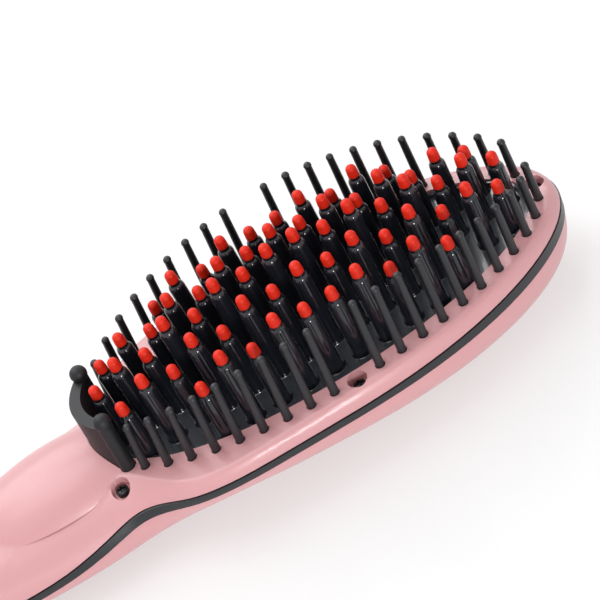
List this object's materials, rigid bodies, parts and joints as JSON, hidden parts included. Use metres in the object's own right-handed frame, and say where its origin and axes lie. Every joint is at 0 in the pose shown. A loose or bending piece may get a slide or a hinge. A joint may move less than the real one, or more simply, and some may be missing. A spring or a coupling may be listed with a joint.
{
  "type": "electric hair straightening brush",
  "caption": "Corded hair straightening brush: an oval head of capped heated teeth ringed by nylon bristles, on a moulded two-shell handle with push buttons and a cord swivel.",
  "frame": {"origin": "on the surface that the brush lies on, under the middle of its length and width", "axes": "+X from the handle to the tip of the head, +Z the bristle side, +Y across"},
  "size_m": [0.27, 0.0606, 0.0481],
  "materials": {
    "pink_plastic": "glossy moulded",
    "trim_grey": "satin moulded",
    "coated_black": "glossy ceramic-look coating",
    "tip_red": "matte heat-proof cap",
    "nylon_grey": "matte nylon",
    "guard_black": "satin moulded",
    "screw_black": "blackened steel",
    "steel": "plain",
    "aluminium": "plain",
    "heater_white": "plain",
    "silicone": "matte",
    "glass_bead": "glossy bead",
    "board_green": "solder mask",
    "component_black": "moulded",
    "component_blue": "moulded",
    "lead_white": "silicone sleeve",
    "window_dark": "smoked pane",
    "button_pink": "glossy moulded",
    "gland_black": "satin moulded"
  },
  "bodies": {
    "brush_body": {"front_shell": "pink_plastic", "rear_shell": "pink_plastic", "trim_band": "trim_grey", "shell_screws": "screw_black", "bristle_strips": "nylon_grey", "edge_bristles": "nylon_grey", "neck_guard": "guard_black", "heating_plate": "coated_black", "heating_teeth": "coated_black", "tooth_tips": "tip_red", "plate_pads": "silicone", "heater_element": "heater_white", "heater_clamp": "steel", "clamp_screws": "steel", "heat_shield": "aluminium", "shield_screws": "steel", "thermistor": "glass_bead", "thermal_fuse": "steel", "heater_leads": "lead_white", "control_board": "board_green", "board_screws": "steel", "supply_capacitor": "component_blue", "power_triac": "component_black", "display_module": "component_black", "display_window": "window_dark", "tact_switches": "component_black", "gland_bush": "gland_black"},
    "plus_button": {"plus_button": "button_pink"},
    "minus_button": {"minus_button": "button_pink"},
    "power_button": {"power_button": "button_pink"},
    "cord_swivel": {"swivel_gland": "gland_black", "gland_clip": "steel"}
  },
  "joints": [
    {"name": "plus_press", "type": "slide", "parent": "brush_body", "child": "plus_button", "axis": [0, 0, -1], "range_m": [0, 0.0004], "stiffness_N_per_m": 4000},
    {"name": "minus_press", "type": "slide", "parent": "brush_body", "child": "minus_button", "axis": [0, 0, -1], "range_m": [0, 0.0004], "stiffness_N_per_m": 4000},
    {"name": "power_press", "type": "slide", "parent": "brush_body", "child": "power_button", "axis": [0, 0, -1], "range_m": [0, 0.0004], "stiffness_N_per_m": 4000},
    {"name": "cord_turn", "type": "hinge", "parent": "brush_body", "child": "cord_swivel", "pos_m": [-0.128, 0, 0.0109], "axis": [1, 0, 0], "continuous": true}
  ]
}
